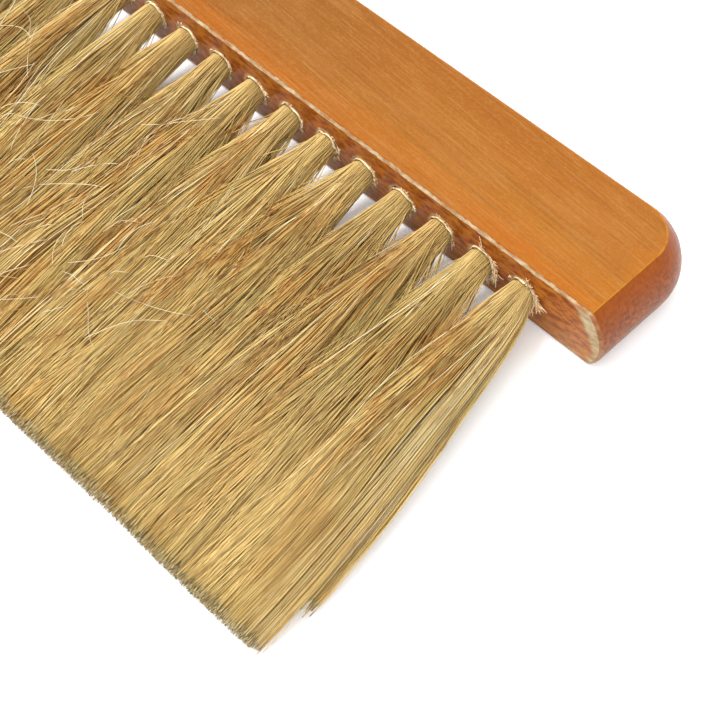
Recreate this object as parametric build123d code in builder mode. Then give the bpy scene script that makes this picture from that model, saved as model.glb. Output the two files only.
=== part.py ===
"""Bee brush lying flat: a varnished wooden handle with one row of bristle tufts in its edge.

Millimetres, +Z up. +X runs along the handle towards its square-cut end and the bristles
run along -Y. The origin is the middle of the bounding box, on the resting surface.
"""

from build123d import *
import os

os.makedirs("parts", exist_ok=True)

# ---- Driving dimensions ---------------------------------------------------------------

overall_length = 360.0
thickness = 13.0
crease_width = 20.7  # flat top face, from the bristle face to the back crease
edge_bulge = 2.45  # how far the rounded edge stands out past the crease
edge_chamfer = 0.5  # all round the bristle face
crease_radius = 0.5  # the creases are rubbed down a little
end_corner_radius = 6.5  # back corner at the square-cut end, seen from above

brush_length = 238.0  # the straight stretch that carries the tufts
cove_radius = 5.5  # step from the bristle face into the grip
neck_dip = 1.6  # how far the back edge dips at the neck
tail_dip = 2.2  # and at the tail
neck_run = 30.0  # from the cove to the narrowest place
belly_run = 72.0  # from the cove to the fullest place of the grip
hang_hole_diameter = 7.0
hang_hole_chamfer = 0.5

tuft_count = 26
tuft_pitch = 8.5
first_tuft_inset = 13.2  # first hole's centre, from the end crease
tuft_hole_diameter = 5.0
tuft_hole_depth = 9.5
tuft_clearance = 0.05  # all round the folded root in its hole
bristle_length = 65.7  # from the bristle face to the cut tips

wire_thickness = 0.6  # flattened staple wire
staple_width = 4.4  # across the two legs
staple_crown_depth = 6.5  # from the bristle face to the top of the crown
staple_bite = 2.0  # how far the legs go into the wood below the hole

# The fan of bristles: distance from the face, height of its middle, and its thickness.
fan_start = (0.0, 6.5, 4.8)
fan_merged = (22.0, 5.6, 4.8)
fan_tips = (bristle_length, 1.95, 3.6)
merged_width = 8.4  # a hair less than the pitch, so that neighbours stay apart
end_spread_merged = 8.2  # outward reach of the two end fans, from the hole's centre
end_spread_tips = 14.2

# ---- Places worked out from them ------------------------------------------------------

end_x = overall_length / 2 - edge_bulge  # crease of the square-cut end
tail_x = -overall_length / 2 + edge_bulge  # crease of the grip's round end
face_y = (bristle_length - crease_width - edge_bulge) / 2  # bristle face
back_y = face_y + crease_width  # back crease
mid_z = thickness / 2
shoulder_x = end_x - brush_length
tuft_xs = [end_x - first_tuft_inset - number * tuft_pitch for number in range(tuft_count)]

belly_y = face_y + edge_bulge  # the belly's rounded edge is flush with the bristle face
tail_width = (back_y - tail_dip) - (belly_y + tail_dip)
tail_radius = tail_width / 2
hang_hole_x = tail_x + tail_radius
hang_hole_y = belly_y + tail_dip + tail_radius


def face_plane(x, z=mid_z):
    """A plane on the bristle face, with its normal out along the bristles."""
    return Plane(origin=(x, face_y, z), x_dir=(1, 0, 0), z_dir=(0, -1, 0))


def double_bend(start, end, heading):
    """Two arcs from start to end that leave and arrive along the same heading."""
    middle = ((start[0] + end[0]) / 2, (start[1] + end[1]) / 2)
    first = TangentArc(start, middle, tangent=heading)
    TangentArc(middle, end, tangent=first % 1)


# ---- Handle: one piece of wood --------------------------------------------------------

towards_tail = (-1, 0)
towards_end = (1, 0)
back_corner = (end_x - end_corner_radius, back_y)
neck_back = (shoulder_x - neck_run, back_y - neck_dip)
belly_back = (shoulder_x - belly_run, back_y)
tail_back = (hang_hole_x, back_y - tail_dip)
tail_point = (tail_x, hang_hole_y)
tail_front = (hang_hole_x, belly_y + tail_dip)
belly_front = (shoulder_x - belly_run, belly_y)
cove_end = (shoulder_x - cove_radius, face_y + cove_radius)

with BuildPart() as handle:
    # The crease runs from the bristle face round the end, the back and the grip.
    with BuildLine() as crease:
        Line((end_x, face_y), (end_x, back_y - end_corner_radius))
        TangentArc((end_x, back_y - end_corner_radius), back_corner, tangent=(0, 1))
        Line(back_corner, (shoulder_x, back_y))
        double_bend((shoulder_x, back_y), neck_back, towards_tail)
        double_bend(neck_back, belly_back, towards_tail)
        double_bend(belly_back, tail_back, towards_tail)
        TangentArc(tail_back, tail_point, tangent=towards_tail)
        TangentArc(tail_point, tail_front, tangent=(0, -1))
        double_bend(tail_front, belly_front, towards_end)
        double_bend(belly_front, cove_end, towards_end)
        TangentArc(cove_end, (shoulder_x, face_y), tangent=towards_end)
    with BuildSketch():
        with BuildLine():
            add(crease.line)
            Line((shoulder_x, face_y), (end_x, face_y))
        make_face()
    extrude(amount=thickness)

    # The rounded edge: a shallow bow that meets both flat faces at a crisp crease.
    with BuildSketch(face_plane(end_x, 0)):
        with BuildLine():
            ThreePointArc((0, 0), (edge_bulge, mid_z), (0, thickness))
            Polyline((0, thickness), (-edge_bulge, thickness), (-edge_bulge, 0), (0, 0))
        make_face()
    sweep(path=crease.wire())

    # A worn chamfer runs all round the bristle face, and both creases are rubbed down.
    chamfer(edges().filter_by_position(Axis.Y, face_y, face_y), length=edge_chamfer)
    flats = faces().filter_by(Axis.Z).sort_by(Axis.Z)
    outlines = flats[0].outer_wire().edges() + flats[-1].outer_wire().edges()
    behind_chamfer = face_y + edge_chamfer + 0.01
    fillet([edge for edge in outlines if edge.center().Y > behind_chamfer], radius=crease_radius)

    # Blind holes for the tufts, with two small slits where each staple bites.
    with Locations([face_plane(x) for x in tuft_xs]):
        Hole(radius=tuft_hole_diameter / 2, depth=tuft_hole_depth)
    with BuildSketch(face_plane(0).offset(-tuft_hole_depth)):
        for x in tuft_xs:
            for side in (-1, 1):
                with Locations((x, side * (staple_width - wire_thickness) / 2)):
                    Rectangle(wire_thickness, wire_thickness)
    extrude(amount=-staple_bite, mode=Mode.SUBTRACT)

    # The hanging hole near the round end of the grip.
    with Locations((hang_hole_x, hang_hole_y, thickness)):
        Hole(radius=hang_hole_diameter / 2, depth=thickness)
    hole_rims = edges().filter_by(GeomType.CIRCLE).filter_by(
        lambda rim: abs(rim.radius - hang_hole_diameter / 2) < 0.01
    )
    chamfer(hole_rims, length=hang_hole_chamfer)

handle.part.label = "handle"
export_step(handle.part, "parts/handle.step")


# ---- Staples: one flattened wire anchor in each hole ----------------------------------


def make_staple(x):
    """A U of flattened wire: its crown lies in the fold, its legs bite into the wood."""
    crown = -staple_crown_depth
    tips = -(tuft_hole_depth + staple_bite)
    with BuildPart() as staple:
        with BuildSketch(Plane(origin=(x, face_y, mid_z), x_dir=(0, 0, 1), z_dir=(1, 0, 0))):
            with BuildLine():
                half = staple_width / 2
                inner = half - wire_thickness
                Polyline(
                    (-half, tips),
                    (-half, crown),
                    (half, crown),
                    (half, tips),
                    (inner, tips),
                    (inner, crown - wire_thickness),
                    (-inner, crown - wire_thickness),
                    (-inner, tips),
                    (-half, tips),
                )
            make_face()
        extrude(amount=wire_thickness / 2, both=True)
    return staple.part


staples = [make_staple(x) for x in tuft_xs]
with BuildPart() as anchor_staples:
    for staple in staples:
        add(staple)

anchor_staples.part.label = "anchor_staples"
export_step(anchor_staples.part, "parts/anchor_staples.step")


# ---- Tufts: a folded bundle of bristle in each hole -----------------------------------


def fan_width_and_shift(number, distance):
    """Width of a fan and how far its middle stands off its hole, at this distance."""
    half = merged_width / 2
    outward = {0: 1, tuft_count - 1: -1}.get(number, 0)
    if outward == 0:
        return merged_width, 0.0
    reach = end_spread_merged if distance < bristle_length else end_spread_tips
    return half + reach, outward * (reach - half) / 2


def make_tuft(number, staple):
    """A folded root that fills the hole, and the bristles that fan out of it."""
    x = tuft_xs[number]
    root_diameter = tuft_hole_diameter - 2 * tuft_clearance
    root_depth = tuft_hole_depth - tuft_clearance
    with BuildPart() as tuft:
        with BuildSketch(face_plane(x)):
            Circle(root_diameter / 2)
        extrude(amount=-root_depth)

        with BuildSketch(face_plane(x)):
            RectangleRounded(fan_start[2], fan_start[2], fan_start[2] / 2 - 0.1)
        for distance, height, depth in (fan_merged, fan_tips):
            width, shift = fan_width_and_shift(number, distance)
            with BuildSketch(face_plane(x + shift, height).offset(distance)):
                RectangleRounded(width, depth, depth / 2 - 0.2)
        loft(ruled=True)
        add(staple, mode=Mode.SUBTRACT)
    return tuft.part


for number in range(tuft_count):
    tuft_part = make_tuft(number, staples[number])
    tuft_part.label = f"tuft_{number + 1:02d}"
    export_step(tuft_part, f"parts/tuft_{number + 1:02d}.step")
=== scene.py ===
"""The looks of a bee brush that lies flat on a pale table: bristles, splinters, wood and light.

Metres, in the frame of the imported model: +X towards the square-cut end, the bristles along
-Y, +Z up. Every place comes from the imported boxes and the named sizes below.
"""

import math

import bpy
import numpy as np
from mathutils import Matrix, Vector


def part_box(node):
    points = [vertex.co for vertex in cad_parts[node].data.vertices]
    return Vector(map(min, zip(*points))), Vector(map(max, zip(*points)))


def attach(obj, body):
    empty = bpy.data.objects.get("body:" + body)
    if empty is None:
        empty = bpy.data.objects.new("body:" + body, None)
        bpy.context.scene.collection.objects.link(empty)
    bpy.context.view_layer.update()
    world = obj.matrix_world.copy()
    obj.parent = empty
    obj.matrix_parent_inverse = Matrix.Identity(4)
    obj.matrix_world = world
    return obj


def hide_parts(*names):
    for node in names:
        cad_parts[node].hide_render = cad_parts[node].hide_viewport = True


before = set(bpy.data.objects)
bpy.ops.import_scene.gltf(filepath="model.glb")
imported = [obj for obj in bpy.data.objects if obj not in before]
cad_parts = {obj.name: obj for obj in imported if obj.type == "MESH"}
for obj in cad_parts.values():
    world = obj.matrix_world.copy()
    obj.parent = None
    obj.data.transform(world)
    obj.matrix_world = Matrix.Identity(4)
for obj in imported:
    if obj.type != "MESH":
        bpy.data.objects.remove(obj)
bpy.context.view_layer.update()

MM = 0.001

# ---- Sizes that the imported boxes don't say ----------------------------------------------

EDGE_BULGE = 2.45 * MM  # the rounded edge, past the crease
BRUSH_LENGTH = 238.0 * MM  # the straight stretch that carries the tufts
TUFT_PITCH = 8.5 * MM
HOLE_RADIUS = 2.5 * MM
ROOT_RADIUS = 2.15 * MM  # of the bundle where it leaves its hole
FOLD_DEPTH = 7.6 * MM  # how deep the bristles go before they fold over the staple

# ---- Places from the frame ---------------------------------------------------------------

handle_low, handle_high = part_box("handle")
second_low, second_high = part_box("tuft_02")
tuft_names = sorted(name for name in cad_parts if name.startswith("tuft_"))
TOP_Z = handle_high.z
MID_Z = TOP_Z / 2
END_X = handle_high.x - EDGE_BULGE
TIP_Y = second_low.y
FIRST_X = (second_low.x + second_high.x) / 2 + TUFT_PITCH
FACE_Y = handle_low.y
BRISTLE_LENGTH = FACE_Y - TIP_Y
tuft_xs = [FIRST_X - index * TUFT_PITCH for index in range(len(tuft_names))]


# ---- Colours and shader graphs --------------------------------------------------------


def colour(red, green, blue, gain=1.0):
    """A display colour of 0 to 255 as linear light, times a gain."""
    linear = [((c / 255 + 0.055) / 1.055) ** 2.4 if c > 10 else c / 255 / 12.92 for c in (red, green, blue)]
    return (*[min(c * gain, 1.0) for c in linear], 1.0)


class Graph:
    """A material's nodes, with one short method for each kind that is used here."""

    def __init__(self, name):
        self.material = bpy.data.materials.new(name)
        self.material.use_nodes = True
        self.tree = self.material.node_tree
        self.tree.nodes.clear()
        self.output = self.tree.nodes.new("ShaderNodeOutputMaterial")

    def node(self, kind, inputs=None, **settings):
        made = self.tree.nodes.new("ShaderNode" + kind)
        for key, value in settings.items():
            setattr(made, key, value)
        for key, value in (inputs or {}).items():
            socket = made.inputs[key]
            if isinstance(value, bpy.types.NodeSocket):
                self.tree.links.new(value, socket)
            else:
                socket.default_value = value
        return made

    def place(self):
        return self.node("TexCoord").outputs["Object"]

    def split(self, vector):
        return self.node("SeparateXYZ", {"Vector": vector}).outputs

    def join(self, x, y, z):
        return self.node("CombineXYZ", {"X": x, "Y": y, "Z": z}).outputs[0]

    def math(self, operation, a, b=0.0, c=0.0, clamp=False):
        inputs = {0: a, 1: b, 2: c}
        return self.node("Math", inputs, operation=operation, use_clamp=clamp).outputs[0]

    def stretch(self, vector, scale):
        return self.node("VectorMath", {0: vector, 1: scale}, operation="MULTIPLY").outputs[0]

    def noise(self, vector, scale, detail=2.0, roughness=0.5, distortion=0.0):
        inputs = {
            "Vector": vector,
            "Scale": scale,
            "Detail": detail,
            "Roughness": roughness,
            "Distortion": distortion,
        }
        return self.node("TexNoise", inputs).outputs["Fac"]

    def band(self, value, low, high, to_low=0.0, to_high=1.0):
        """Goes smoothly from to_low to to_high as value goes from low to high."""
        inputs = {0: value, 1: low, 2: high, 3: to_low, 4: to_high}
        made = self.node("MapRange", inputs, interpolation_type="SMOOTHSTEP")
        return made.outputs[0]

    def mix(self, share, first, second, blend="MIX"):
        made = self.node("Mix", data_type="RGBA", blend_type=blend)
        for socket, value in zip((made.inputs[0], made.inputs[6], made.inputs[7]), (share, first, second)):
            if isinstance(value, bpy.types.NodeSocket):
                self.tree.links.new(value, socket)
            else:
                socket.default_value = value
        return made.outputs[2]

    def ramp(self, value, stops):
        made = self.node("ValToRGB", {"Fac": value})
        elements = made.color_ramp.elements
        while len(elements) < len(stops):
            elements.new(0.5)
        for element, (place, shade) in zip(elements, stops):
            element.position = place
            element.color = shade
        return made.outputs["Color"]

    def attribute(self, name):
        return self.node("Attribute", attribute_name=name).outputs["Fac"]

    def bump(self, height, strength, distance):
        inputs = {"Height": height, "Strength": strength, "Distance": distance}
        return self.node("Bump", inputs).outputs["Normal"]

    def finish(self, base, roughness, normal=None, **fixed):
        """The surface: fixed holds what is the same all over it, set on the shader itself."""
        inputs = {"Base Color": base, "Roughness": roughness}
        if normal is not None:
            inputs["Normal"] = normal
        inputs.update({key.replace("_", " "): value for key, value in fixed.items()})
        shader = self.node("BsdfPrincipled", inputs)
        self.tree.links.new(shader.outputs[0], self.output.inputs["Surface"])
        return self.material


# ---- Materials ---------------------------------------------------------------------------

TOP_GAIN = 0.405  # the gains balance the colours below against the lights
SIDE_GAIN = 0.43
# The bristle face's gain is higher: painted light that lifts the face out of its shade.
FACE_GAIN = 0.68
RAW_GAIN = 0.57
FIBRE_GAIN = 0.95
HAIR_GAIN = 0.745
FLOOR_GLOW = 0.17
OVERHEAD_LIGHT = 2.2
DOME = ((0.0, 0.62), (0.20, 0.54), (0.45, 0.30), (1.0, 1.0))  # shares of it by height


def wood_material():
    """Amber varnish over fine grain, redder on the narrow faces, worn to raw wood at the edge."""
    g = Graph("varnished_wood")
    place = g.place()
    x, y, z = g.split(place)
    facing = g.split(g.node("NewGeometry").outputs["Normal"])

    # Grain: long fine streaks along the handle, a little askew, over broad tone changes.
    skewed = g.join(x, g.math("ADD", y, g.math("MULTIPLY", x, 0.07)), z)
    fine = g.noise(g.stretch(skewed, (110, 2600, 1600)), 1.0, 3.0, 0.6)
    streak = g.noise(g.stretch(skewed, (16, 520, 400)), 1.0, 3.0, 0.55, 0.4)
    broad = g.noise(g.stretch(skewed, (9, 80, 80)), 1.0, 2.0, 0.5)
    pores = g.noise(g.stretch(skewed, (900, 3600, 3600)), 1.0, 1.0, 0.5)
    cloud = g.noise(g.stretch(place, (70, 120, 120)), 1.0, 2.0, 0.5)

    towards_end = g.band(x, END_X - 120 * MM, END_X)
    top = g.mix(towards_end, colour(152, 89, 5, TOP_GAIN), colour(220, 138, 34, TOP_GAIN))
    top = g.mix(g.band(broad, 0.38, 0.66, 0.0, 0.55), top, colour(196, 108, 16, TOP_GAIN))
    top = g.mix(g.band(cloud, 0.40, 0.70, 0.0, 0.30), top, colour(222, 146, 66, TOP_GAIN))
    top = g.mix(g.band(streak, 0.50, 0.70, 0.0, 0.26), top, colour(160, 84, 12, TOP_GAIN))

    # Thicker varnish pools into a stronger orange near the bristle face and the end crease.
    uneven = g.math("ADD", g.math("MULTIPLY", streak, 0.55), g.math("MULTIPLY", cloud, 0.45))
    wavy = g.math("MULTIPLY", g.math("SUBTRACT", uneven, 0.5), 26.0 * MM)
    near_face = g.math("ADD", g.math("SUBTRACT", y, FACE_Y), wavy)
    top = g.mix(g.band(near_face, -2.0 * MM, 8.0 * MM, 0.80, 0.0), top, colour(222, 122, 6, TOP_GAIN))
    near_end = g.math("ADD", g.math("SUBTRACT", END_X, x), wavy)
    top = g.mix(g.band(near_end, 0.0, 3.0 * MM, 0.40, 0.0), top, colour(232, 138, 20, TOP_GAIN))

    grit = g.noise(g.stretch(skewed, (1500, 4200, 4200)), 1.0, 2.0, 0.7)
    top = g.mix(g.band(fine, 0.50, 0.70, 0.0, 0.27), top, colour(236, 172, 96, TOP_GAIN))
    top = g.mix(g.band(fine, 0.30, 0.46, 0.27, 0.0), top, colour(146, 78, 10, TOP_GAIN))
    top = g.mix(g.band(grit, 0.50, 0.64, 0.0, 0.17), top, colour(240, 180, 104, TOP_GAIN))
    top = g.mix(g.band(pores, 0.70, 0.80, 0.0, 0.35), top, colour(150, 80, 24, TOP_GAIN))

    # Rounded edges and end: deeper, redder lacquer, orange under the top crease.
    side_dark, side_pale = colour(128, 50, 6, SIDE_GAIN), colour(204, 104, 22, SIDE_GAIN)
    side_fine = g.noise(g.stretch(place, (620, 1400, 1600)), 1.0, 3.0, 0.7)
    side = g.mix(g.band(side_fine, 0.42, 0.58), side_dark, side_pale)
    side = g.mix(g.band(streak, 0.42, 0.62, 0.0, 0.55), side, colour(150, 70, 20, SIDE_GAIN))
    side = g.mix(g.band(fine, 0.45, 0.65, 0.0, 0.50), side, colour(212, 126, 52, SIDE_GAIN))
    # Paler and greyer low down: a painted reflection of the pale table.
    painted_table_reflection = g.math("MULTIPLY", g.band(z, 0.0, 7.0 * MM, 1.0, 0.0), g.band(side_fine, 0.38, 0.60, 0.25, 0.85))
    side = g.mix(painted_table_reflection, side, colour(186, 152, 114, SIDE_GAIN))
    side = g.mix(g.band(z, MID_Z, TOP_Z, 0.0, 0.80), side, colour(200, 98, 2, SIDE_GAIN))

    # The bristle face: blotchy red-brown, paler low down as a painted reflection of the pale table.
    blotch = g.noise(g.stretch(place, (420, 420, 900)), 1.0, 4.0, 0.7)
    face = g.mix(g.band(blotch, 0.38, 0.62), colour(142, 62, 8, FACE_GAIN), colour(198, 116, 34, FACE_GAIN))
    face = g.mix(g.band(fine, 0.50, 0.72, 0.0, 0.45), face, colour(206, 144, 74, FACE_GAIN))
    face = g.mix(g.band(z, 0.0, 8.0 * MM, 0.40, 0.0), face, colour(178, 124, 52, FACE_GAIN))
    off_face = g.math("SUBTRACT", y, FACE_Y)
    face_only = g.band(facing[1], -0.95, -0.6, 1.0, 0.0)
    face_only = g.math("MULTIPLY", face_only, g.band(off_face, 0.4 * MM, 0.9 * MM, 1.0, 0.0))
    shoulder_x = END_X - BRUSH_LENGTH
    face_only = g.math("MULTIPLY", face_only, g.band(x, shoulder_x - 6 * MM, shoulder_x - 3 * MM))
    side = g.mix(face_only, side, face)
    is_top = g.band(g.math("ABSOLUTE", facing[2]), 0.955, 0.985)
    base = g.mix(is_top, side, top)

    # A bright line where the flat sides meet the rounded edge: partly thinner lacquer, partly a painted
    # highlight where the fillet catches the light.
    rub_and_glint = g.noise(g.stretch(place, (700, 700, 700)), 1.0, 2.0, 0.6)
    slope = g.math("ABSOLUTE", facing[2])
    on_crease = g.math("MULTIPLY", g.band(slope, 0.74, 0.84), g.band(slope, 0.95, 0.99, 1.0, 0.0))
    crease_highlight_and_thin_lacquer = g.math("MULTIPLY", on_crease, g.band(rub_and_glint, 0.2, 0.6, 0.35, 0.9))
    base = g.mix(crease_highlight_and_thin_lacquer, base, colour(248, 166, 50, TOP_GAIN))

    # Raw wood: the worn chamfer, the end corner of the bristle face and the torn hole rims.
    shaken = g.math("SUBTRACT", rub_and_glint, 0.5)
    jitter = g.math("MULTIPLY", shaken, 0.45 * MM)
    on_top_edge = g.math(
        "MULTIPLY",
        g.band(g.math("ADD", off_face, jitter), 0.30 * MM, 0.52 * MM, 1.0, 0.0),
        g.band(g.math("ADD", z, jitter), TOP_Z - 0.60 * MM, TOP_Z - 0.38 * MM),
    )
    worn = g.noise(g.stretch(place, (190, 700, 700)), 1.0, 3.0, 0.65)
    on_top_edge = g.math("MULTIPLY", on_top_edge, g.band(worn, 0.36, 0.58, 0.40, 1.0))
    from_end = g.math("SUBTRACT", END_X + EDGE_BULGE, x)
    arch = g.math("MULTIPLY", g.math("ABSOLUTE", g.math("SUBTRACT", z, MID_Z - 2.0 * MM)), 0.45)
    patch = g.math("ADD", g.math("SUBTRACT", from_end, arch), g.math("MULTIPLY", shaken, 1.2 * MM))
    at_corner = g.math("MULTIPLY", g.band(patch, 0.7 * MM, 2.1 * MM, 0.95, 0.0), face_only)
    column = g.math("WRAP", g.math("SUBTRACT", x, FIRST_X), TUFT_PITCH / 2, -TUFT_PITCH / 2)
    row_middle = (tuft_xs[0] + tuft_xs[-1]) / 2
    from_middle = g.math("ABSOLUTE", g.math("SUBTRACT", x, row_middle))
    in_row = g.math("LESS_THAN", from_middle, len(tuft_xs) * TUFT_PITCH / 2)
    up = g.math("SUBTRACT", z, MID_Z)
    squares = g.math("ADD", g.math("MULTIPLY", column, column), g.math("MULTIPLY", up, up))
    ring_edge = g.math("ADD", g.math("SQRT", squares), g.math("MULTIPLY", jitter, 2.4))
    at_rim = g.band(ring_edge, HOLE_RADIUS + 0.15 * MM, HOLE_RADIUS + 0.60 * MM, 0.8, 0.0)
    at_rim = g.math("MULTIPLY", g.math("MULTIPLY", at_rim, face_only), in_row)
    foot = g.band(g.math("ADD", z, g.math("MULTIPLY", jitter, 3.0)), 0.4 * MM, 1.8 * MM, 0.45, 0.0)
    near_corner = g.band(from_end, 4 * MM, 11 * MM, 1.0, 0.0)
    foot = g.math("MULTIPLY", g.math("MULTIPLY", foot, face_only), near_corner)
    raw = g.math("MAXIMUM", g.math("MAXIMUM", on_top_edge, at_corner), g.math("MAXIMUM", at_rim, foot))
    raw_dark, raw_pale = colour(186, 154, 106, RAW_GAIN), colour(228, 210, 170, RAW_GAIN)
    base = g.mix(raw, base, g.mix(g.band(blotch, 0.35, 0.65), raw_dark, raw_pale))

    height = g.math("ADD", g.math("MULTIPLY", fine, 0.6), g.math("MULTIPLY", pores, 0.4))
    height = g.math("ADD", height, g.math("MULTIPLY", raw, 0.8))
    roughness = g.math("ADD", g.math("MULTIPLY", raw, 0.42), g.band(fine, 0.3, 0.7, 0.30, 0.42))
    normal = g.bump(height, 0.25, 0.05 * MM)
    fixed = {"IOR": 1.5, "Specular_IOR_Level": 0.13, "Coat_Weight": 0.05, "Coat_Roughness": 0.18}
    return g.finish(base, roughness, normal, **fixed)


def bristle_material():
    """Natural bristle: each strand has its own tone, with rusty and greyish stretches."""
    g = Graph("bristle")
    place = g.place()
    x, y = g.split(place)[:2]
    tone = g.attribute("tone")
    base = g.ramp(tone, [
        (0.00, colour(150, 134, 82, HAIR_GAIN)),
        (0.14, colour(192, 163, 96, HAIR_GAIN)),
        (0.40, colour(212, 180, 106, HAIR_GAIN)),
        (0.66, colour(226, 196, 124, HAIR_GAIN)),
        (0.82, colour(246, 234, 196, HAIR_GAIN)),
        (0.86, colour(208, 164, 84, HAIR_GAIN)),
        (0.93, colour(186, 128, 52, HAIR_GAIN)),
        (0.97, colour(138, 84, 30, HAIR_GAIN)),
        (1.00, colour(70, 44, 22, HAIR_GAIN)),
    ])
    patches = g.noise(g.stretch(place, (160, 50, 160)), 1.0, 2.0, 0.6)
    strand_patch = g.join(g.math("MULTIPLY", tone, 140.0), g.math("MULTIPLY", y, 170.0), 0.0)
    own_patch = g.noise(strand_patch, 1.0, 1.0)
    strand_dash = g.join(g.math("MULTIPLY", tone, 310.0), g.math("MULTIPLY", y, 300.0), 0.0)
    dash = g.band(g.noise(strand_dash, 1.0, 1.0), 0.61, 0.67)
    dash = g.math("MULTIPLY", dash, g.band(patches, 0.40, 0.55, 0.50, 0.90))
    amber = g.math("MULTIPLY", g.band(patches, 0.40, 0.60), g.band(own_patch, 0.50, 0.60))
    base = g.mix(g.band(patches, 0.52, 0.64, 0.0, 0.42), base, colour(204, 148, 70, HAIR_GAIN))
    base = g.mix(g.math("MULTIPLY", amber, 0.62), base, colour(200, 138, 54, HAIR_GAIN))
    shade = g.math("MULTIPLY", g.band(own_patch, 0.28, 0.42, 0.45, 0.0), g.band(patches, 0.35, 0.5, 1.0, 0.3))
    base = g.mix(shade, base, colour(140, 112, 58, HAIR_GAIN))
    base = g.mix(dash, base, colour(142, 84, 28, HAIR_GAIN))

    # Paler near the roots, where the hair is cleaner and where painted light stands for the bundles lit from
    # above, and towards the tips of the tufts at the square-cut end.
    along = g.attribute("along")
    paler = g.band(x, END_X - 80 * MM, END_X - 10 * MM, 0.0, 0.36)
    paler = g.math("MULTIPLY", paler, g.band(along, 0.45, 0.80))
    base = g.mix(paler, base, colour(244, 212, 140, HAIR_GAIN))
    base = g.mix(g.band(along, 0.20, 0.42, 0.70, 0.0), base, colour(236, 204, 132, HAIR_GAIN))
    golden = g.math("MULTIPLY", g.band(along, 0.55, 0.90, 0.0, 0.18), g.band(tone, 0.83, 0.90, 1.0, 0.3))
    base = g.mix(golden, base, colour(228, 190, 106, HAIR_GAIN))

    # The last half millimetre is stubble, dark and pale by turns: the dark is partly the hair's own and
    # partly painted shade among the cut tips.
    speck = g.noise(g.join(g.math("MULTIPLY", tone, 1700.0), g.math("MULTIPLY", y, 700.0), 0.0), 1.0, 1.0)
    tip_dark_and_shade, tip_pale = colour(62, 50, 26, HAIR_GAIN), colour(216, 202, 158, HAIR_GAIN)
    tip = g.mix(g.band(speck, 0.46, 0.58), tip_dark_and_shade, tip_pale)
    ragged = g.math("ADD", along, g.math("MULTIPLY", g.math("SUBTRACT", own_patch, 0.5), 0.05))
    base = g.mix(g.band(ragged, 0.986, 0.998, 0.0, 0.75), base, tip)
    roughness = g.band(tone, 0.0, 1.0, 0.40, 0.55)
    return g.finish(base, roughness, IOR=1.5, Specular_IOR_Level=0.3)


def cut_end_material():
    """The cut faces of the bristles: dark and paler by turns, darker on darker bristles; the dark is partly
    the hair's own and partly painted shade among the cut tips.
    """
    g = Graph("bristle_cut_end")
    tone = g.attribute("tone")
    speck = g.noise(g.stretch(g.place(), (2500, 2500, 2500)), 1.0, 1.0)
    base = g.mix(g.band(speck, 0.4, 0.6), colour(64, 52, 28), colour(142, 122, 76))
    base = g.mix(g.band(tone, 0.5, 1.0, 0.0, 0.5), base, colour(48, 36, 20))
    return g.finish(base, g.band(speck, 0.3, 0.7, 0.6, 0.8))


def splinter_material():
    """Torn raw wood fibre, paler and redder by turns."""
    g = Graph("torn_wood_fibre")
    streak = g.noise(g.stretch(g.place(), (1800, 1800, 1800)), 1.0, 2.0)
    dull, bright = colour(216, 178, 126, FIBRE_GAIN), colour(250, 232, 194, FIBRE_GAIN)
    base = g.mix(g.band(streak, 0.35, 0.65), dull, bright)
    base = g.mix(g.band(g.attribute("tone"), 0.55, 1.0, 0.0, 0.85), base, colour(184, 108, 56, FIBRE_GAIN))
    return g.finish(base, g.band(streak, 0.3, 0.7, 0.6, 0.8))


def staple_material():
    """Bright drawn steel wire."""
    g = Graph("staple_wire")
    drawn = g.noise(g.stretch(g.place(), (9000, 600, 9000)), 1.0, 2.0)
    base = g.mix(drawn, colour(150, 150, 152), colour(206, 206, 210))
    return g.finish(base, g.band(drawn, 0.3, 0.7, 0.25, 0.4), Metallic=1.0)


def floor_material():
    """A matt white light table: it glows a little, so that it stays pale under the brush."""
    g = Graph("pale_table")
    cloud = g.noise(g.stretch(g.place(), (6, 6, 6)), 1.0, 2.0)
    base = g.mix(cloud, (0.87, 0.87, 0.88, 1.0), (0.90, 0.90, 0.91, 1.0))
    glow = {"Emission_Color": (1.0, 1.0, 1.0, 1.0), "Emission_Strength": FLOOR_GLOW}
    return g.finish(base, g.band(cloud, 0.3, 0.7, 0.55, 0.65), **glow)


# ---- Strand meshes -----------------------------------------------------------------------

SIDES = 3  # of each tube


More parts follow.
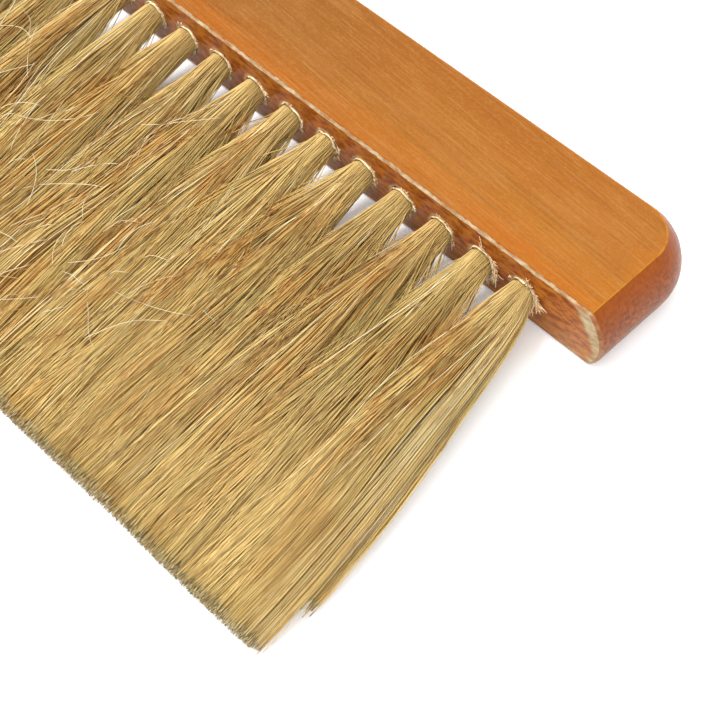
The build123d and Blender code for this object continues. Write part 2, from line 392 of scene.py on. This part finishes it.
def strands_mesh(name, points, radii, tones, along, materials, upright=(0.0, 0.0, 1.0)):
    """Tubes along rows of points, none of them along upright, with a face at each end."""
    strands, rows = points.shape[:2]
    tangent = np.gradient(points, axis=1)
    tangent /= np.linalg.norm(tangent, axis=2, keepdims=True) + 1e-12
    side = np.cross(tangent, np.array(upright))
    side /= np.linalg.norm(side, axis=2, keepdims=True) + 1e-12
    up = np.cross(side, tangent)
    turn = np.arange(SIDES) * 2 * math.pi / SIDES
    ring = side[:, :, None, :] * np.cos(turn)[:, None] + up[:, :, None, :] * np.sin(turn)[:, None]
    places = (points[:, :, None, :] + ring * radii[:, :, None, None]).reshape(-1, 3)

    strand = np.arange(strands)[:, None, None] * rows * SIDES
    row = np.arange(rows - 1)[None, :, None] * SIDES
    corner = np.arange(SIDES)[None, None, :]
    following = (corner + 1) % SIDES
    quads = np.stack([
        strand + row + corner,
        strand + row + following,
        strand + row + SIDES + following,
        strand + row + SIDES + corner,
    ], axis=-1).reshape(-1, 4)
    starts = (strand[:, 0] + np.arange(SIDES)[::-1]).reshape(-1, SIDES)
    ends = (strand[:, 0] + (rows - 1) * SIDES + np.arange(SIDES)).reshape(-1, SIDES)
    caps = np.concatenate([starts, ends])
    corners = np.concatenate([quads.ravel(), caps.ravel()])
    face_starts = np.concatenate([
        np.arange(len(quads)) * 4,
        quads.size + np.arange(len(caps)) * SIDES,
    ])

    mesh = bpy.data.meshes.new(name)
    mesh.vertices.add(len(places))
    mesh.vertices.foreach_set("co", places.astype(np.float32).ravel())
    mesh.loops.add(len(corners))
    mesh.loops.foreach_set("vertex_index", corners.astype(np.int32))
    mesh.polygons.add(len(face_starts))
    mesh.polygons.foreach_set("loop_start", face_starts.astype(np.int32))
    is_cut = np.zeros(len(face_starts), np.int32)
    is_cut[len(quads):] = 1 if len(materials) > 1 else 0
    for material in materials:
        mesh.materials.append(material)
    mesh.polygons.foreach_set("material_index", is_cut)
    mesh.polygons.foreach_set("use_smooth", is_cut == 0)
    for label, values in (("tone", tones.ravel()), ("along", along.ravel())):
        at_corners = np.repeat(values, SIDES).astype(np.float32)
        mesh.attributes.new(label, "FLOAT", "POINT").data.foreach_set("value", at_corners)
    mesh.update(calc_edges=True)
    mesh.validate()
    piece = bpy.data.objects.new(name, mesh)
    bpy.context.scene.collection.objects.link(piece)
    return piece


# ---- Tufts -------------------------------------------------------------------------------

HALF_STRANDS = 720
END_HALF_STRANDS = 1180  # the end tufts fan out over more room
STRAND_RADIUS = 0.086 * MM
OUTER_ROWS = 15
LOCKS = 8  # a tuft's strands hang together in a few locks, and these in thin wisps
WISPS = 40
RUSTY_TUFTS = (2, 4, 9, 15, 22)  # counted from the square-cut end
FAN_REACH = 6.8 * MM  # how far a mid tuft's outermost bristles go sideways, past the root
END_REACH = 11.5 * MM  # the same on the free side of the two end tufts
LEAN = 4.6 * MM  # of the tips towards the square-cut end, except on the free sides
ROOT_HEIGHT = MID_Z - 0.20 * MM
TIP_HEIGHT = 2.2 * MM
TIP_THICKNESS = 0.72  # of the curtain, against the bundle at its root
STRAIGHT_START = 0.15  # share of the length before a bundle opens
FREE_START = 0.01  # the same on the free sides of the end tufts
SWELL = 24.0 * MM  # how fast the free sides of the end tufts flare where they leave the hole
SWELL_FADE = 0.12  # share of the length after which that flare dies away
STRAYS = 6  # loose hairs on top of each tuft
UNDER_LENGTH = 9.5 * MM  # by which the free side's lowest bristles are cut short
SHORT_SHARE = 0.12  # of the bristles end before the tips
TIP_TAPER = 0.15  # share of its radius that a bristle loses towards its tip
EVEN_SHARE = 0.75  # how far the fan is evened out from side to side
MOST_GATHER = 0.30  # how far a lock can draw together
BENDS = (1.4, 2.0)  # how early the locks swing out: 1 is evenly, more is sooner
FREE_BEND = 1.6
TUFT_LEAN = 0.8 * MM  # random, of a whole tuft

# How uneven the cut is, by tuft, wisp and strand, and the most that a bristle can stand out.
TUFT_TRIM, WISP_TRIM, STRAND_TRIM = 0.35 * MM, 0.22 * MM, 0.30 * MM
TRIM_LIMIT = 0.5 * MM

# Inside the hole: the share of its sideways place that a bristle keeps, and how deep it is by then.
FOLD_STEPS = ((0.9, 0.30), (0.75, 0.72), (0.38, 0.96))

# Random sideways shifts of the tips, by lock, wisp and strand.
LOCK_SPREAD, WISP_SPREAD, STRAND_SPREAD = 0.9 * MM, 1.8 * MM, 1.2 * MM

# Waves along the bristles, each with its size and how many fit in the length.
LOCK_WAVES = ((0.22 * MM, 1.1), (0.10 * MM, 2.3))
WISP_WAVES = ((0.42 * MM, 1.4), (0.14 * MM, 2.8))
STRAND_WAVES = ((0.20 * MM, 1.6), (0.10 * MM, 3.4))

# The same up and down, where a lock makes a single arch.
LOCK_ARCH = 0.36 * MM
WISP_LIFTS = ((0.20 * MM, 1.2), (0.08 * MM, 2.4))
STRAND_LIFTS = ((0.10 * MM, 1.5), (0.05 * MM, 3.1))

# Places on the bristle's colour ramp, and the share of rusty and dark hairs.
KHAKI_END = 0.74
FREE_SIDE_TONES = (0.56, 0.77)
PALE_TONES = (0.77, 0.83)
RUST_TONES = (0.86, 0.96)
BROWN_TONE = 0.94
DARK_TONES = (0.97, 1.0)
RUST_SHARE = 0.055
RUSTY_LOCK_SHARE = 0.50
DARK_SHARE = 0.03


def disc_points(rng, count):
    """Even places in a unit disc, by the golden angle, a little shaken."""
    step = np.arange(count) + 0.5
    reach = np.sqrt(step / count)
    angle = step * math.pi * (3 - math.sqrt(5))
    u = reach * np.cos(angle) + rng.normal(0, 0.012, count)
    v = reach * np.sin(angle) + rng.normal(0, 0.012, count)
    return np.clip(u, -0.999, 0.999), v


def wander(rng, count, t, sizes):
    """Slow sideways waves that start at nothing, one row for each strand."""
    total = np.zeros((count, t.shape[1]))
    for size, turns in sizes:
        phase = rng.random((count, 1)) * 2 * math.pi
        strength = rng.normal(0, 1, (count, 1))
        total += size * strength * (np.sin(2 * math.pi * turns * t + phase) - np.sin(phase))
    return total


def grouped(rng, u, v, groups):
    """The nearest of so many even centres for each strand, and that centre's u and height."""
    centres_u, centres_v = disc_points(rng, groups)
    nearness = (u[:, None] - centres_u) ** 2 + 0.6 * (v[:, None] - centres_v) ** 2
    group = np.argmin(nearness, axis=1)
    return group, centres_u[group], centres_v


def strand_tones(rng, lock, wisp, rusty):
    """Khaki for most, a shade apart from lock to lock, some locks rusty, and a few dark hairs."""
    count = len(lock)
    middle = rng.uniform(0.26, 0.54, LOCKS)[lock] + rng.normal(0, 0.10, WISPS)[wisp]
    tones = np.clip(middle + rng.normal(0, 0.11, count), 0.0, KHAKI_END)
    is_rust = rng.random(count) < np.where(rusty[lock], RUSTY_LOCK_SHARE, RUST_SHARE)
    tones = np.where(is_rust, rng.uniform(*RUST_TONES, count), tones)
    return np.where(rng.random(count) < DARK_SHARE, rng.uniform(*DARK_TONES, count), tones)


def middle_height(t):
    """The height of the curtain's middle, t of the way from the bristle face to the tips."""
    return ROOT_HEIGHT - (ROOT_HEIGHT - TIP_HEIGHT) * (0.45 * t + 0.55 * t * t)


def fan_paths(rng, index, u, v):
    """The open part of each bristle, from the bristle face to its cut tip, and its tone."""
    count = len(u)
    last = len(tuft_xs) - 1
    t = np.linspace(0, 1, OUTER_ROWS)[None, :]
    free_side = (u if index == 0 else -u if index == last else -np.ones(count)).clip(0, 1)

    # The free sides of the end tufts hold their line, so what is random fades there.
    freedom = 1 - np.minimum(1.2 * free_side, 0.9)
    right_reach = END_REACH if index == 0 else FAN_REACH
    left_reach = END_REACH if index == last else FAN_REACH
    reach = np.where(u > 0, right_reach, left_reach)

    # The fan is even from side to side, so u goes through the share of the disc to its left.
    even = 2 * (u * np.sqrt(1 - u * u) + np.arcsin(u)) / math.pi
    fan_u = (1 - EVEN_SHARE) * u + EVEN_SHARE * even

    lock, lock_u, lock_heights = grouped(rng, u, v, LOCKS)
    wisp = grouped(rng, u, v, WISPS)[0]
    gather = rng.uniform(0.0, MOST_GATHER, LOCKS)[lock] * freedom
    tuft_lean = 0.0 if index in (0, last) else rng.normal(0, TUFT_LEAN)
    own_side = rng.normal(0, LOCK_SPREAD, LOCKS)[lock] + rng.normal(0, WISP_SPREAD, WISPS)[wisp]
    own_side += rng.normal(0, STRAND_SPREAD, count)
    sideways = (fan_u + (lock_u - fan_u) * gather) * reach + tuft_lean + own_side * freedom
    bend = np.where(free_side > 0, FREE_BEND, rng.uniform(*BENDS, LOCKS)[lock])

    # A round bundle opens to an even slab.
    slab_v = 0.85 * np.clip(v / np.sqrt(1.02 - u * u), -1, 1)

    # Loose hairs: some of the top ones swing far out over their neighbours.
    strays = rng.choice(np.argsort(v)[-count // 6:], STRAYS, replace=False)
    swing = rng.choice((-1.0, 1.0), STRAYS) * (2 + 20 * rng.random(STRAYS) ** 3) * MM
    swing = -abs(swing) if index < 4 else abs(swing) if index > last - 4 else swing
    sideways[strays] += swing
    lift = np.zeros(count)
    lift[strays] = rng.uniform(0.5, 1.3, STRAYS) * MM
    bend[strays] = rng.uniform(0.55, 1.1, STRAYS)

    trim = TUFT_TRIM * np.sin(index * 1.7) + rng.normal(0, WISP_TRIM, WISPS)[wisp]
    trim += rng.normal(0, STRAND_TRIM, count)
    length = BRISTLE_LENGTH + np.minimum(trim, TRIM_LIMIT)
    short = rng.random(count) < SHORT_SHARE * (free_side < 0.3)
    length = np.where(short, length * rng.uniform(0.45, 0.98, count), length)
    length[strays] *= rng.uniform(0.55, 0.97, STRAYS)
    is_under = (free_side > 0.78) & (slab_v < 0.1)
    length = np.where(is_under, length - UNDER_LENGTH * rng.uniform(0.85, 1.15, count), length)

    start = np.where(free_side > 0, FREE_START, STRAIGHT_START)[:, None]
    opened = t * t / (t + start)
    spread = 1 - (1 - opened / opened[:, -1:]) ** bend[:, None]
    wave = wander(rng, LOCKS, t, LOCK_WAVES)[lock]
    wave += wander(rng, WISPS, t, WISP_WAVES)[wisp]
    wave += wander(rng, count, t, STRAND_WAVES)
    x = tuft_xs[index] + u[:, None] * ROOT_RADIUS + sideways[:, None] * spread
    x = x + (wave + LEAN * t) * freedom[:, None]
    x = x + (np.sign(u) * free_side)[:, None] * SWELL * t * np.exp(-t / SWELL_FADE)
    y = FACE_Y - length[:, None] * t
    height = v[:, None] * (1 - t) + slab_v[:, None] * t
    z = middle_height(t) + height * ROOT_RADIUS * (1 + (TIP_THICKNESS - 1) * t)
    z = z + rng.normal(0, LOCK_ARCH, LOCKS)[lock][:, None] * np.sin(math.pi * t ** 0.75 * 0.97)
    z = z + wander(rng, WISPS, t, WISP_LIFTS)[wisp] * (1 - 0.45 * t)
    z = z + wander(rng, count, t, STRAND_LIFTS) * (1 - 0.3 * t)
    z = z + lift[:, None] * np.sin(math.pi * np.minimum(t * 1.4, 0.8))
    z = np.maximum(z, STRAND_RADIUS * 1.6)

    rusty = rng.random(LOCKS) < 0.07
    rusty[np.argmax(lock_heights)] |= index in RUSTY_TUFTS
    tones = strand_tones(rng, lock, wisp, rusty)
    is_pale = rng.random(count) < 0.92 * (free_side > 0.5)
    tones = np.where(is_pale, rng.uniform(*FREE_SIDE_TONES, count), tones)
    tones[strays] = np.where(rng.random(STRAYS) < 0.35, 0.80, 0.97)
    return np.stack([x, y, z], axis=2), tones


def tuft_paths(rng, index):
    """Whole bristles: out from one tip, round the staple's crown in the hole, and back out."""
    is_end = index in (0, len(tuft_xs) - 1)
    pairs = (END_HALF_STRANDS if is_end else HALF_STRANDS) // 2
    u, v = disc_points(rng, pairs * 2)
    order = np.argsort(u)
    left, right = order[:pairs], order[pairs:]
    sides = [group[np.argsort(v[group])] for group in (left, right)]
    both = np.concatenate(sides)
    open_paths, tones = fan_paths(rng, index, u[both], v[both])
    outer = (open_paths[:pairs], open_paths[pairs:])
    inner = []
    for share, depth in FOLD_STEPS:
        for path in outer:
            point = path[:, 0].copy()
            point[:, 0] = tuft_xs[index] + (point[:, 0] - tuft_xs[index]) * share
            point[:, 1] = FACE_Y + FOLD_DEPTH * depth
            inner.append(point[:, None])
    parts = [outer[0][:, ::-1], inner[0], inner[2], inner[4], inner[5], inner[3], inner[1], outer[1]]
    return np.concatenate(parts, axis=1), np.stack([tones[:pairs], tones[pairs:]], axis=1)


def make_tuft(index, materials):
    """One tuft of real strands in place of its plain solid."""
    rng = np.random.default_rng(4100 + index)
    paths, half_tones = tuft_paths(rng, index)
    strands, rows = paths.shape[:2]
    middle = (rows - 1) / 2
    along = np.abs(np.arange(rows) - middle) / middle
    along = np.tile(along, (strands, 1))
    base_radius = STRAND_RADIUS * rng.uniform(0.72, 1.2, strands)
    radii = base_radius[:, None] * (1 - TIP_TAPER * along)
    tones = np.repeat(half_tones, rows // 2, axis=1)
    piece = strands_mesh(f"bristles_{index + 1:02d}", paths, radii, tones, along, materials)
    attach(piece, "root")
    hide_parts(tuft_names[index])


# ---- Loose hairs -------------------------------------------------------------------------

LOOSE_HAIRS = 290
LOOSE_RADIUS = 0.056 * MM
LOOSE_ROWS = 9
TANGLES = 18
CROSSING_SHARE = 0.7  # lie slantwise over the others, the rest nearly along them
CROSSING_HEADING = (0.85, 0.3)  # radians from +X towards +Y, and their spread
OTHER_HEADING = (2.0, 0.35)
CURL = 0.38
PALE_SHARE = 0.66


def make_loose_hairs(materials):
    """Fine, mostly pale hairs that came loose and lie across the others, many in tangles."""
    rng = np.random.default_rng(53)
    tangle = rng.integers(0, TANGLES, LOOSE_HAIRS)
    across = rng.uniform(tuft_xs[-1], tuft_xs[3], TANGLES)[tangle]
    down = rng.uniform(0.45, 0.82, TANGLES)[tangle]
    x = (across + rng.normal(0, 9 * MM, LOOSE_HAIRS)).clip(tuft_xs[-1], tuft_xs[0] - 3 * MM)
    y = FACE_Y - BRISTLE_LENGTH * (down + rng.normal(0, 0.13, LOOSE_HAIRS)).clip(0.2, 0.90)
    is_crossing = rng.random(LOOSE_HAIRS) < CROSSING_SHARE
    crossing = rng.normal(*CROSSING_HEADING, LOOSE_HAIRS)
    heading = np.where(is_crossing, crossing, rng.normal(*OTHER_HEADING, LOOSE_HAIRS))
    length = (3 + 11 * rng.random(LOOSE_HAIRS) ** 1.4) * MM
    s = np.linspace(-0.5, 0.5, LOOSE_ROWS)[None, :]
    forth = length[:, None] * s
    aside = length[:, None] * rng.normal(0, CURL, (LOOSE_HAIRS, 1)) * s * s
    aside += wander(rng, LOOSE_HAIRS, s, ((0.10 * MM, 1.3),))
    x = x[:, None] + forth * np.cos(heading)[:, None] - aside * np.sin(heading)[:, None]
    y = y[:, None] + forth * np.sin(heading)[:, None] + aside * np.cos(heading)[:, None]
    y = y.clip(TIP_Y + 1 * MM, FACE_Y - 2 * MM)
    t = (FACE_Y - y) / BRISTLE_LENGTH
    top = middle_height(t) + ROOT_RADIUS * (1 + (TIP_THICKNESS - 1) * t) * (1 - 0.15 * t)
    z = top + rng.uniform(0.35, 0.95, (LOOSE_HAIRS, 1)) * MM - 1.6 * MM * s * s
    points = np.stack([x, y, z], axis=2)
    radii = np.full((LOOSE_HAIRS, LOOSE_ROWS), LOOSE_RADIUS)
    is_pale = rng.random(LOOSE_HAIRS) < PALE_SHARE
    own = np.where(is_pale, rng.uniform(*PALE_TONES, LOOSE_HAIRS), BROWN_TONE)
    tones = np.repeat(own[:, None], LOOSE_ROWS, axis=1)
    piece = strands_mesh("loose_hairs", points, radii, tones, np.full_like(tones, 0.6), materials)
    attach(piece, "root")


# ---- Torn wood round the holes -------------------------------------------------------------

LIP_ROWS = 30
FIBRE_ROWS = 5
CLUMP_FIBRES = 8
WORST_HOLES = 2  # the last ones, at the square-cut end
WORST_CLUMPS = 24
OTHER_CLUMPS = 9
LIP_WAVES = ((0.05 * MM, 2), (0.05 * MM, 5), (0.04 * MM, 9))
LIP_RADIUS = 0.16 * MM
TORN_RADIUS = 0.18 * MM  # on top of that, where the rim is torn most
ASKEW = (0.53, -0.11, 0.84)  # no fibre points quite this way


def make_lips(material):
    """A thin uneven ring of raised wood round the mouth of each hole."""
    rng = np.random.default_rng(51)
    turn = np.linspace(0, 2 * math.pi, LIP_ROWS)[None, :]
    count = len(tuft_xs)
    wave = wander(rng, count, turn / (2 * math.pi), LIP_WAVES)
    reach = HOLE_RADIUS - 0.14 * MM + wave
    x = np.array(tuft_xs)[:, None] + reach * np.cos(turn)
    z = MID_Z + reach * np.sin(turn)
    y = FACE_Y - 0.02 * MM + 0.6 * wave
    torn = 0.5 + 0.5 * np.cos(turn - 0.6)  # most at the side towards the square-cut end
    radii = (LIP_RADIUS + TORN_RADIUS * torn) * rng.uniform(0.6, 1.25, (count, LIP_ROWS))
    points = np.stack([x, y, z], axis=2)
    tones = np.clip(1.15 - torn + rng.normal(0, 0.15, (count, LIP_ROWS)), 0, 1)
    piece = strands_mesh("torn_hole_lips", points, radii, tones, tones, [material], (0.0, 1.0, 0.0))
    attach(piece, "root")


def make_fibres(material):
    """Clumps of torn wood round each rim, longest low down by the square-cut end."""
    rng = np.random.default_rng(52)
    starts, ways, lengths = [], [], []
    for index, middle in enumerate(tuft_xs):
        is_worst = index < WORST_HOLES
        clumps = WORST_CLUMPS if is_worst else OTHER_CLUMPS
        turn = np.repeat(rng.normal(-0.1, 1.0, clumps), CLUMP_FIBRES)
        count = len(turn)
        heading = turn + np.repeat(rng.normal(-0.2, 0.45, clumps), CLUMP_FIBRES) + rng.normal(0, 0.22, count)
        turn += rng.normal(0, 0.09, count)
        reach = HOLE_RADIUS + rng.uniform(-0.05, 0.25, count) * MM
        starts.append(np.stack([
            middle + reach * np.cos(turn),
            np.full(count, FACE_Y + 0.05 * MM),
            MID_Z + reach * np.sin(turn),
        ], axis=1))
        out = np.repeat(rng.uniform(0.08, 0.55, clumps), CLUMP_FIBRES) + rng.uniform(0, 0.25, count)
        way = np.stack([np.cos(heading), -out, np.sin(heading)], axis=1)
        ways.append(way / np.linalg.norm(way, axis=1, keepdims=True))
        longest = rng.uniform(0.6, 2.6, clumps) if is_worst else rng.uniform(0.25, 1.0, clumps)
        lengths.append(np.repeat(longest, CLUMP_FIBRES) * rng.uniform(0.45, 1.0, count) * MM)
    start, way = np.concatenate(starts), np.concatenate(ways)
    length = np.concatenate(lengths)
    count = len(length)
    t = np.linspace(0, 1, FIBRE_ROWS)[None, :, None]
    bend = rng.normal(0, 0.20, (count, 1, 3))
    points = start[:, None] + length[:, None, None] * (way[:, None] * t + bend * t * t)
    points[:, :, 1] = np.minimum(points[:, :, 1], FACE_Y + 0.05 * MM)
    radii = rng.uniform(0.07, 0.18, (count, 1)) * MM * (1 - 0.75 * t[:, :, 0] ** 1.5)
    tones = np.repeat(rng.random((count, 1)) ** 1.5, FIBRE_ROWS, axis=1)
    along = np.repeat(t[:, :, 0], count, axis=0)
    piece = strands_mesh("torn_hole_fibres", points, radii, tones, along, [material], ASKEW)
    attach(piece, "root")


# ---- Stage, light and camera ----------------------------------------------------------

FLOOR_REACH = 3.0
KEY_POWER, KEY_SIZE = 7.6, 0.32  # W and m
FILL_POWER, FILL_SIZE = 2.1, 0.8
CAMERA_AZIMUTH = 52.41  # degrees, from the bristles' side towards the square-cut end
CAMERA_ELEVATION = 55.52
CAMERA_ROLL = 7.5
CAMERA_PLACE = (99.59 * MM, -118.70 * MM, 229.64 * MM)  # from the end's lower bristle-side corner
SENSOR_WIDTH = 36.0  # mm, as is the lens
LENS = 92.96


def make_floor():
    mesh = bpy.data.meshes.new("pale_table")
    reach = FLOOR_REACH
    corners = [(-reach, -reach, 0), (reach, -reach, 0), (reach, reach, 0), (-reach, reach, 0)]
    mesh.from_pydata(corners, [], [(0, 1, 2, 3)])
    mesh.materials.append(floor_material())
    floor = bpy.data.objects.new("pale_table", mesh)
    bpy.context.scene.collection.objects.link(floor)


def area_light(name, place, target, size, power):
    light = bpy.data.lights.new(name, "AREA")
    light.shape = "DISK"
    light.size = size
    light.energy = power
    lamp = bpy.data.objects.new(name, light)
    lamp.location = place
    lamp.rotation_euler = (Vector(target) - Vector(place)).to_track_quat("-Z", "Y").to_euler()
    bpy.context.scene.collection.objects.link(lamp)


def make_light():
    """A soft dome, brightest overhead, with a key light on the grip's side and a weak fill."""
    scene = bpy.context.scene
    world = bpy.data.worlds.new("studio")
    world.use_nodes = True
    nodes, links = world.node_tree.nodes, world.node_tree.links
    direction = nodes.new("ShaderNodeTexCoord").outputs["Generated"]
    apart = nodes.new("ShaderNodeSeparateXYZ")
    links.new(direction, apart.inputs[0])
    rise = nodes.new("ShaderNodeValToRGB")
    links.new(apart.outputs["Z"], rise.inputs["Fac"])
    elements = rise.color_ramp.elements
    while len(elements) < len(DOME):
        elements.new(0.5)
    for element, (height, share) in zip(elements, DOME):
        element.position = height
        element.color = (share, share, share, 1.0)
    links.new(rise.outputs["Color"], nodes["Background"].inputs["Color"])
    nodes["Background"].inputs["Strength"].default_value = OVERHEAD_LIGHT
    scene.world = world
    scene.view_settings.view_transform = "Standard"
    middle = (END_X - 0.06, FACE_Y - 0.02, 0.0)
    area_light("key", (END_X - 0.42, FACE_Y - 0.10, 0.90), middle, KEY_SIZE, KEY_POWER)
    area_light("fill", (END_X + 0.30, FACE_Y - 0.60, 0.70), middle, FILL_SIZE, FILL_POWER)


def make_camera():
    """Looks down across the square-cut end, turned a little, as if hand-held."""
    azimuth, elevation = math.radians(CAMERA_AZIMUTH), math.radians(CAMERA_ELEVATION)
    forward = Vector((
        -math.sin(azimuth) * math.cos(elevation),
        math.cos(azimuth) * math.cos(elevation),
        -math.sin(elevation),
    ))
    level = forward.cross(Vector((0, 0, 1))).normalized()
    right = Matrix.Rotation(math.radians(CAMERA_ROLL), 3, forward) @ level
    up = right.cross(forward)
    camera_data = bpy.data.cameras.new("camera")
    camera_data.lens = LENS
    camera_data.sensor_width = SENSOR_WIDTH
    camera = bpy.data.objects.new("camera", camera_data)
    place = Vector((END_X, FACE_Y, 0)) + Vector(CAMERA_PLACE)
    turned = Matrix((right, up, -forward)).transposed()
    camera.matrix_world = Matrix.Translation(place) @ turned.to_4x4()
    bpy.context.scene.collection.objects.link(camera)
    bpy.context.scene.camera = camera


# ---- Putting it together ---------------------------------------------------------------

make_camera()
make_light()
make_floor()

bristle_materials = [bristle_material(), cut_end_material()]
for index in range(len(tuft_names)):
    make_tuft(index, bristle_materials)

make_loose_hairs(bristle_materials)

torn_wood = splinter_material()
make_lips(torn_wood)
make_fibres(torn_wood)

for node, material in (("handle", wood_material()), ("anchor_staples", staple_material())):
    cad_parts[node].data.materials.clear()
    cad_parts[node].data.materials.append(material)
